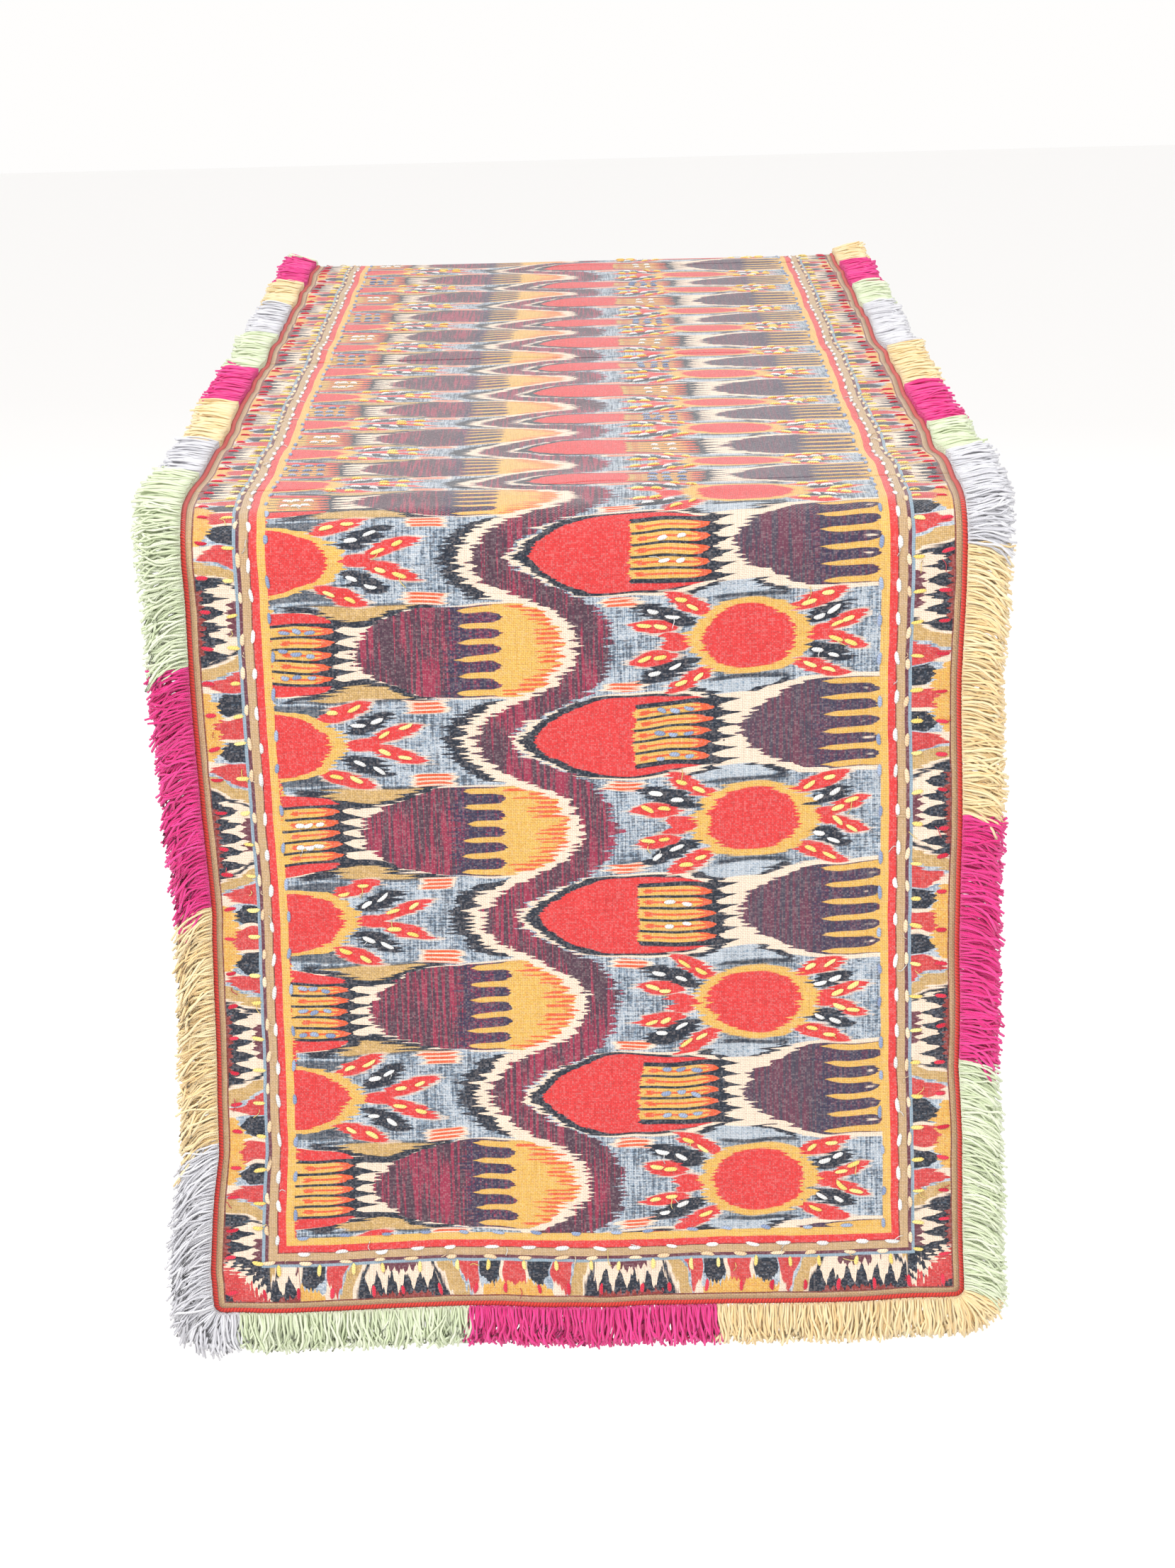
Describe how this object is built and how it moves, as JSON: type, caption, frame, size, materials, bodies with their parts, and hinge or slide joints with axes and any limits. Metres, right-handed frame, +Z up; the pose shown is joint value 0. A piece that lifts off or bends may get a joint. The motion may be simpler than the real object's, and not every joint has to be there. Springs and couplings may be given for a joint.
{
  "type": "table runner",
  "caption": "Fringed, lined table runner in ikat-printed cotton with running-stitch embroidery, draped over a table with a hanging drop at each end.",
  "frame": {"origin": "centre of the underside of the flat part, where the lining rests on the tabletop", "axes": "+Z up out of the tabletop, +Y along the runner towards the back drop, +X to the right as seen from in front of the front drop"},
  "size_m": [0.404, 0.956, 0.5028],
  "materials": {
    "face_cloth": "printed cotton with an ikat design, matt",
    "lining_cloth": "plain-weave cotton, matt",
    "piping": "rolled cotton edge, matt",
    "header_tape": "woven cotton tape, matt",
    "fringe_pink": "loose cotton yarn",
    "fringe_yellow": "loose cotton yarn",
    "fringe_grey": "loose cotton yarn",
    "fringe_mint": "loose cotton yarn",
    "thread_white": "twisted embroidery cotton, slight sheen",
    "thread_cream": "twisted embroidery cotton, slight sheen",
    "thread_blue": "twisted embroidery cotton, slight sheen",
    "thread_yellow": "twisted embroidery cotton, slight sheen",
    "thread_red": "twisted embroidery cotton, slight sheen"
  },
  "bodies": {
    "table_span": {"face_span": "face_cloth", "face_front_fold": "face_cloth", "face_back_fold": "face_cloth", "lining_span": "lining_cloth", "lining_front_fold": "lining_cloth", "lining_back_fold": "lining_cloth", "piping_span": "piping", "piping_front_fold": "piping", "piping_back_fold": "piping", "header_span": "header_tape", "header_front_fold": "header_tape", "header_back_fold": "header_tape", "fringe_pink_span": "fringe_pink", "fringe_yellow_span": "fringe_yellow", "fringe_grey_span": "fringe_grey", "fringe_mint_span": "fringe_mint", "fringe_mint_front_fold": "fringe_mint", "fringe_grey_front_fold": "fringe_grey", "fringe_mint_back_fold": "fringe_mint", "fringe_yellow_back_fold": "fringe_yellow", "white_thread_span": "thread_white", "cream_thread_span": "thread_cream", "blue_thread_span": "thread_blue", "yellow_thread_span": "thread_yellow", "red_thread_span": "thread_red", "threads_front_fold": "thread_white", "threads_back_fold": "thread_white", "sun_embroidery_span": "thread_yellow", "pencil_embroidery_span": "thread_blue"},
    "front_drop": {"face_front_drop": "face_cloth", "lining_front_drop": "lining_cloth", "piping_front_drop": "piping", "header_front_drop": "header_tape", "fringe_pink_front_drop": "fringe_pink", "fringe_yellow_front_drop": "fringe_yellow", "fringe_grey_front_drop": "fringe_grey", "fringe_mint_front_drop": "fringe_mint", "white_thread_front_drop": "thread_white", "cream_thread_front_drop": "thread_cream", "blue_thread_front_drop": "thread_blue", "yellow_thread_front_drop": "thread_yellow", "red_thread_front_drop": "thread_red", "sun_embroidery_front_drop": "thread_yellow", "pencil_embroidery_front_drop": "thread_blue"},
    "back_drop": {"face_back_drop": "face_cloth", "lining_back_drop": "lining_cloth", "piping_back_drop": "piping", "header_back_drop": "header_tape", "fringe_pink_back_drop": "fringe_pink", "fringe_yellow_back_drop": "fringe_yellow", "fringe_grey_back_drop": "fringe_grey", "fringe_mint_back_drop": "fringe_mint", "white_thread_back_drop": "thread_white", "cream_thread_back_drop": "thread_cream", "blue_thread_back_drop": "thread_blue", "yellow_thread_back_drop": "thread_yellow", "red_thread_back_drop": "thread_red", "sun_embroidery_back_drop": "thread_yellow", "pencil_embroidery_back_drop": "thread_blue"}
  },
  "joints": [
    {"name": "front_drop_lift", "type": "hinge", "parent": "table_span", "child": "front_drop", "pos_m": [0, -0.46579, -0.00421], "axis": [-1, 0, 0], "range_deg": [0, 90], "deforming": ["face_front_fold", "lining_front_fold", "piping_front_fold", "header_front_fold", "fringe_mint_front_fold", "fringe_grey_front_fold", "threads_front_fold"]},
    {"name": "back_drop_lift", "type": "hinge", "parent": "table_span", "child": "back_drop", "pos_m": [0, 0.46579, -0.00421], "axis": [1, 0, 0], "range_deg": [0, 90], "deforming": ["face_back_fold", "lining_back_fold", "piping_back_fold", "header_back_fold", "fringe_mint_back_fold", "fringe_yellow_back_fold", "threads_back_fold"]}
  ]
}
